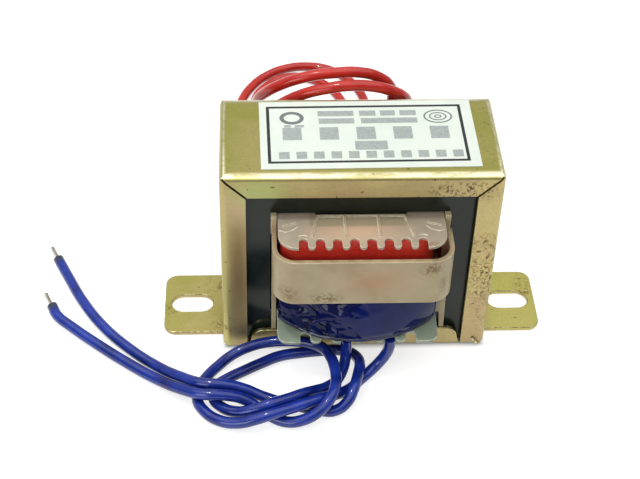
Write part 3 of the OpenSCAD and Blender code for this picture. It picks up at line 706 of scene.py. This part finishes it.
def make_strands(name, route, material):
    """Stripped stranded conductor: tinned strands laid with a twist, a little open at the tip."""
    end = Vector(route[-1]) * MM
    along = (end - Vector(route[-2]) * MM).normalized()
    side = along.cross(Vector((0, 0, 1))).normalized()
    other = along.cross(side)
    strand = 0.09 * MM
    parts = []
    # Radius in mm of each ring of strands, and how many lie in it
    for ring, count in ((0.0, 1), (0.18, 6), (0.34, 11)):
        for k in range(count):
            start = 2 * math.pi * k / count
            stray = noise.noise(Vector((k * 1.7, ring * 9, 3.1)))
            points = []
            for step in range(9):
                t = step / 8
                reach = ring * MM * (1 + 0.12 * t * t)
                angle = start + 2.6 * t + 0.5 * stray * t * t
                length = BARE_L * t * (1 - 0.04 * abs(stray))
                points.append(end + along * length
                              + reach * (math.cos(angle) * side + math.sin(angle) * other))
            parts.append(tube(points, strand, 6))
    mesh = mesh_from(name + "_strands", *joined(parts))
    return piece(name + "_strands", mesh, material, name, name)


def make_leads():
    tin = metal_material("tinned_strands", srgb(214, 208, 196), srgb(150, 142, 130), rough=0.25)
    blue = (srgb(7, 26, 100), srgb(30, 58, 164))
    red = (srgb(170, 26, 20), srgb(200, 46, 36))
    lengths = {"blue_lead_1": 0.1865, "blue_lead_2": 0.1889,
               "red_lead_1": 0.1849, "red_lead_2": 0.1641}
    for name, length in lengths.items():
        route = ROUTES[name]
        deep, bright = blue if name.startswith("blue") else red
        cover = insulation_material(name + "_pvc", deep, bright, route[-1])
        lead = make_lead(name, cover)
        bare = make_strands(name.replace("lead", "conductor"), route, tin)


# ---- coil wraps ----

def make_secondary_tape(material, rim_material):
    """Blue tape over the round coil: shallow folds, a belly, and a tucked and rolled lower edge."""
    low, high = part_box("secondary_tape")
    flat_x, outer, bottom = high.x, high.y, low.z
    tall = high.z - bottom
    draw = 2.1 * MM
    around, levels = 320, 26
    roll = 0.4 * MM
    profile = [(-2.4 * MM, 0.1 * MM, 0.3), (-roll, 0.0, 0.3)]
    for j in range(1, 4):
        turn = math.pi / 2 * j / 4
        profile.append((-roll * (1 - math.sin(turn)), roll * (1 - math.cos(turn)), 0.3))
    for j in range(levels + 1):
        up = roll + (tall - roll) * j / levels
        belly = max(0.0, (up / tall - 0.15) / 0.85)
        tuck = 0.3 * max(0.0, min(1.0, (2.1 * MM - up) / (0.9 * MM)))
        profile.append((-draw * (1 - math.cos(belly * math.pi / 2)), up, tuck))
    profile.append((profile[-1][0] - 2 * MM, tall, 0.0))
    verts = []
    for inset, up, tuck in profile:
        for k in range(around):
            place = tape_point(outer + inset - tuck * MM, flat_x, k / around, bottom + up)
            verts.append(crinkled(place, up / tall, 1 - tuck / DEEPEST_FOLD))
    faces = ring_faces(len(profile), around)
    wrap_faces = len(faces)
    verts, faces = joined([(verts, faces)] + tape_rim(outer, flat_x, bottom))
    mesh = mesh_from("secondary_tape_wrap", verts, faces, 60)
    piece("secondary_tape_wrap", mesh, material, "secondary_tape", "secondary_tape")
    mesh.materials.append(rim_material)
    for face in mesh.polygons[wrap_faces:]:
        face.material_index = 1


def tape_point(radius, flat_x, share, z):
    """Point at a share of the way round a circle whose sides are cut flat."""
    half = math.asin(min(1, flat_x / radius))
    side_y = radius * math.cos(half)
    arc = 2 * half * radius
    line = 2 * side_y
    gone = share * 2 * (arc + line)
    if gone < arc:
        angle = -half + gone / radius
        return Vector((radius * math.sin(angle), -radius * math.cos(angle), z))
    gone -= arc
    if gone < line:
        return Vector((flat_x, -side_y + gone, z))
    gone -= line
    if gone < arc:
        angle = half - gone / radius
        return Vector((radius * math.sin(angle), radius * math.cos(angle), z))
    gone -= arc
    return Vector((-flat_x, side_y - gone, z))


def crinkled(place, up, room):
    """The place drawn in by long soft folds and, to the left, by flat facets tilted each its own way."""
    slant = Vector((place.x * 60 + place.z * 40, place.y * 40, place.z * 90))
    fold = 0.5 + 0.5 * noise.noise(slant)
    left = max(0.0, min(1.0, (-place.x / MM + 2) / 5))
    spread = Vector((place.x * 300 + place.z * 160, place.y * 150, place.z * 330))
    cell = noise.voronoi(spread)[1][0]
    tilt = Vector([noise.noise(cell * 5.1 + Vector((n, 7, 3))) for n in range(3)])
    facet = max(0.0, min(1.0, 0.5 + 1.6 * (spread - cell).dot(tilt)))
    depth = (SOFT_FOLD * fold + FACET_FOLD * left * facet) * room * MM
    hold = max(0.0, min(1.0, 5 * up, 6 * (1 - up)))
    return place - Vector((place.x, place.y, 0)).normalized() * depth * hold


def tape_rim(outer, flat_x, bottom):
    """Rolled edge of the tape along the belly, uneven in thickness and height."""
    parts = []
    for front in (-1, 1):
        path = []
        steps = 60
        reach = math.asin(flat_x / outer) * 0.97
        for k in range(steps + 1):
            angle = reach * (2 * k / steps - 1)
            lift = 0.3 * MM * noise.noise(Vector((9 * angle, front, 2)))
            radius = outer - 0.46 * MM
            path.append((radius * math.sin(angle), front * radius * math.cos(angle),
                         bottom + 0.62 * MM + lift))
        parts.append(tube(path, lambda t: (0.4 + 0.1 * noise.noise(Vector((30 * t, 5, 1)))) * MM, 12))
    return parts


def make_primary_tape(material):
    """Red tape around the primary: nearly flat faces, soft corners, slight waves."""
    low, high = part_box("primary_tape")
    middle = (low + high) / 2
    half = (high - low) / 2
    outline = rounded_outline(half.x, half.y, corner=4 * MM, arc_steps=12, side_steps=30)
    levels = 12
    tuck = 3 * MM
    rows = [(0, low.z + (high.z - low.z) * j / levels) for j in range(levels + 1)]
    rows = [(tuck, low.z)] + rows + [(tuck, high.z)]
    verts = []
    for inset, z in rows:
        for x, y, out_x, out_y in outline:
            wave = noise.noise(Vector((x * 120, y * 120, z * 200)))
            pull = inset + 0.16 * MM * (0.5 + 0.5 * wave)
            verts.append(Vector((middle.x + x - out_x * pull, middle.y + y - out_y * pull, z)))
    faces = ring_faces(len(rows), len(outline))
    mesh = mesh_from("primary_tape_wrap", verts, faces, 50)
    return piece("primary_tape_wrap", mesh, material, "primary_tape", "primary_tape")


def rounded_outline(half_x, half_y, corner, arc_steps, side_steps):
    """Points and outward directions around a rectangle with round corners."""
    found = []
    centres = ((1, -1, -90), (1, 1, 0), (-1, 1, 90), (-1, -1, 180))
    for n, (sx, sy, start) in enumerate(centres):
        cx, cy = sx * (half_x - corner), sy * (half_y - corner)
        for k in range(arc_steps + 1):
            angle = math.radians(start + 90 * k / arc_steps)
            ox, oy = math.cos(angle), math.sin(angle)
            found.append((cx + corner * ox, cy + corner * oy, ox, oy))
        last = found[-1]
        nsx, nsy, nstart = centres[(n + 1) % 4]
        angle = math.radians(nstart)
        nx = nsx * (half_x - corner) + corner * math.cos(angle)
        ny = nsy * (half_y - corner) + corner * math.sin(angle)
        for k in range(1, side_steps):
            t = k / side_steps
            found.append((last[0] + (nx - last[0]) * t, last[1] + (ny - last[1]) * t,
                          last[2], last[3]))
    return found


# ---- label ----

def label_frame():
    """Matrix of the label: its middle on the cover and its slight turn."""
    low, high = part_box("label")
    middle = (low + high) / 2
    return Matrix.Translation((middle.x, middle.y, low.z)) @ Matrix.Rotation(math.radians(0.7), 4, "Z")


def sheet_patch(x0, y0, x1, y1, level):
    """Flat patch in label millimetres at a height above the cover."""
    verts = [(x * MM, y * MM, level * MM) for x, y in ((x0, y0), (x1, y0), (x1, y1), (x0, y1))]
    return verts, [(0, 1, 2, 3)]


def ring_patch(cx, cy, rx, ry, width, level, steps=40):
    """Flat ellipse outline in label millimetres."""
    verts, faces = [], []
    for k in range(steps):
        angle = 2 * math.pi * k / steps
        c, s = math.cos(angle), math.sin(angle)
        verts.append(((cx + rx * c) * MM, (cy + ry * s) * MM, level * MM))
        verts.append(((cx + (rx - width) * c) * MM, (cy + (ry - width) * s) * MM, level * MM))
    for k in range(steps):
        a, b = 2 * k, 2 * ((k + 1) % steps)
        faces.append((a, b, b + 1, a + 1))
    return verts, faces


def make_label():
    """Label paper and its generic print: a frame, plain bars and round marks, and no text."""
    place = label_frame()
    paper = paper_material()
    half_x, half_y, thick = 22.8, 11.3, 0.15
    verts, faces = [], []
    columns, rows = 48, 24
    for level in (0.0, thick):
        for j in range(rows + 1):
            for i in range(columns + 1):
                x = -half_x + 2 * half_x * i / columns
                y = -half_y + 2 * half_y * j / rows
                verts.append(place @ Vector((x * MM, y * MM, level * MM)))
    side = (columns + 1) * (rows + 1)
    for j in range(rows):
        for i in range(columns):
            a = j * (columns + 1) + i
            quad = (a, a + 1, a + columns + 2, a + columns + 1)
            faces.append(tuple(side + v for v in quad))
            faces.append(tuple(reversed(quad)))
    border = list(range(columns + 1))
    border += [j * (columns + 1) + columns for j in range(1, rows + 1)]
    border += [rows * (columns + 1) + i for i in range(columns - 1, -1, -1)]
    border += [j * (columns + 1) for j in range(rows - 1, 0, -1)]
    for k, a in enumerate(border):
        b = border[(k + 1) % len(border)]
        faces.append((a, b, b + side, a + side))
    mesh = mesh_from("label_sheet", verts, faces, 30)
    piece("label_sheet", mesh, paper, "label", "label")
    ink_lift = 0.012
    make_print(place, thick + ink_lift)


def make_print(place, level):
    """Ink shapes on the label."""
    lines = []
    # Corners of the frame line and its width
    x0, y0, x1, y1, w = -21.3, -9.5, 20.6, 9.7, 0.66
    lines.append(sheet_patch(x0, y0, x1, y0 + w, level))
    lines.append(sheet_patch(x0, y1 - w, x1, y1, level))
    lines.append(sheet_patch(x0, y0 + w, x0 + w, y1 - w, level))
    lines.append(sheet_patch(x1 - w, y0 + w, x1, y1 - w, level))
    blocks = []
    # Each row of bars: lower edge, height, and where each bar begins and ends
    for y, height, spans in (
            (6.1, 1.8, ((-10.3, -2.6), (-1.4, 2.1), (3.1, 6.3), (7.3, 10.8))),
            (3.5, 1.8, ((-10.2, -2.6), (-1.2, 10.9))),
            (2.4, 0.8, ((-17.6, -16.2), (-15.4, -13.4))),
            (-8.1, 2.3, [(-19.0 + 3.62 * k, -16.8 + 3.62 * k) for k in range(11)])):
        for a, b in spans:
            blocks.append(sheet_patch(a, y, b, y + height, level))
    for x in (-16.0, -8.2, -0.4, 7.4, 15.2):
        blocks.append(sheet_patch(x - 2.0, -1.9, x + 2.0, 2.3, level))
    blocks.append(sheet_patch(-3.0, -5.4, 3.8, -2.5, level))
    marks = [ring_patch(-15.9, 5.6, 2.6, 2.2, 0.9, level), ring_patch(15.4, 5.6, 3.1, 2.3, 0.35, level),
             ring_patch(15.4, 5.6, 1.9, 1.4, 0.3, level), ring_patch(15.4, 5.6, 0.8, 0.6, 0.3, level)]
    for name, parts, light, dark in (
            ("label_frame_line", lines, srgb(34, 40, 40), srgb(18, 24, 24)),
            ("label_blocks", blocks, srgb(170, 177, 173), srgb(148, 156, 153)),
            ("label_marks", marks, srgb(120, 127, 126), srgb(96, 103, 102))):
        verts, faces = joined(parts)
        verts = [place @ Vector(v) for v in verts]
        mesh = mesh_from(name, verts, faces)
        piece(name, mesh, ink_material(name + "_ink", light, dark), "label")


# ---- the part ----

def make_part():
    zinc = zinc_material()
    # Edge material: lighter rims, partly rubbed wear and partly painted highlight.
    zinc_edge = edge_material("zinc_edge", srgb(206, 198, 148), srgb(112, 100, 60),
                              metallic=0.9, rough=0.24)
    refined("cover_shell", "cover", zinc, zinc_edge, width=0.12)
    refined("base_plate", "base_strap", zinc, zinc_edge, width=0.14)
    steel = steel_material()
    for node in ("e_laminations_a", "e_laminations_b", "i_laminations_a", "i_laminations_b"):
        give(node, steel)
    band_nylon = nylon_material("band_nylon", srgb(200, 186, 146), srgb(182, 164, 126),
                                flushed=0.6)
    nylon = nylon_material("natural_nylon", srgb(180, 167, 148), srgb(168, 155, 136),
                           flushed=0.7)
    green_nylon = nylon_material("lower_nylon", srgb(162, 175, 154), srgb(146, 160, 140),
                                 flushed=0.0)
    # Nylon edge materials: paler rims, a painted highlight of light through the edges.
    green_edge = edge_material("lower_nylon_edge", srgb(214, 220, 202), srgb(160, 170, 150),
                               metallic=0, rough=0.25)
    nylon_edge = edge_material("nylon_edge", srgb(232, 224, 202), srgb(190, 176, 146),
                               metallic=0, rough=0.25)
    refined("shroud_moulding", "shroud", band_nylon, nylon_edge, width=0.16)
    refined("upper_bobbin", "primary_bobbin", nylon, nylon_edge, width=0.13)
    refined("lower_bobbin", "secondary_bobbin", green_nylon, green_edge, width=0.12)
    make_comb_marks(nylon_edge)
    make_burr(zinc_edge)
    copper = winding_material()
    give("primary_winding", copper)
    give("secondary_winding", copper)
    make_primary_tape(tape_material("red_tape", srgb(212, 54, 44), srgb(222, 64, 50),
                                    rough=0.22, gloss=0.25))
    blue = crumpled_tape_material("blue_tape", srgb(8, 20, 82), srgb(16, 34, 108))
    rim = tape_material("blue_tape_rim", srgb(4, 8, 48), srgb(14, 24, 92), rough=0.02, gloss=0.9)
    make_secondary_tape(blue, rim)
    make_label()


def make_comb_marks(material):
    """Moulded flow lines and raised crescents on the upper comb's face."""
    sunk = 0.42 * MM
    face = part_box("primary_bobbin")[1].z - sunk
    # Middle and radius of the small arcs
    arc_x, arc_y, arc_r = 12.4 * MM, -19.9 * MM, 1.5 * MM
    parts = []
    for side in (-1, 1):
        for front in (-1, 1):
            path = [(side * x * MM, front * y * MM, face)
                    for x, y in ((17.2, 16.9), (16.0, 17.4), (14.6, 16.9), (13.4, 15.8))]
            parts.append(tube(path, 0.15 * MM, 8))
        arc = []
        for k in range(9):
            angle = math.radians(50 + 80 * k / 8)
            arc.append((side * (arc_x - arc_r * math.cos(angle)),
                        arc_y + arc_r * math.sin(angle), face))
        parts.append(tube(arc, 0.16 * MM, 8))
    mesh = mesh_from("comb_marks", *joined(parts), smooth_angle=60)
    piece("comb_marks", mesh, material, "primary_bobbin")


def make_burr(material):
    """Curled sliver of metal at the foot of the right flange."""
    low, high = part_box("cover")
    steps = 13
    curl = 4.2
    path = []
    for k in range(steps + 1):
        t = k / steps
        angle = curl * t
        path.append((high.x - 2.7 * MM + 1.9 * MM * t,
                     low.y - 0.05 * MM - 0.45 * MM * math.sin(angle),
                     1.5 * MM + 0.8 * MM * math.cos(angle)))
    verts, faces = tube(path, lambda t: (0.4 - 0.24 * t) * MM, 8)
    mesh = mesh_from("flange_burr", verts, faces, 60)
    piece("flange_burr", mesh, material, "cover")


def give(node, material):
    """A better material in the CAD node's own slots."""
    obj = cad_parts[node]
    if not obj.material_slots:
        obj.data.materials.append(material)
    for slot in obj.material_slots:
        slot.material = material


make_camera()
make_leads()
make_part()
make_world()
make_floor()
make_light("key", place=(-120, -20, 420), size=0.03, power=0.32)
make_light("fill", place=(-350, -450, 220), size=0.3, power=0.9)
bpy.context.scene.view_settings.view_transform = "Standard"

bpy.context.view_layer.update()
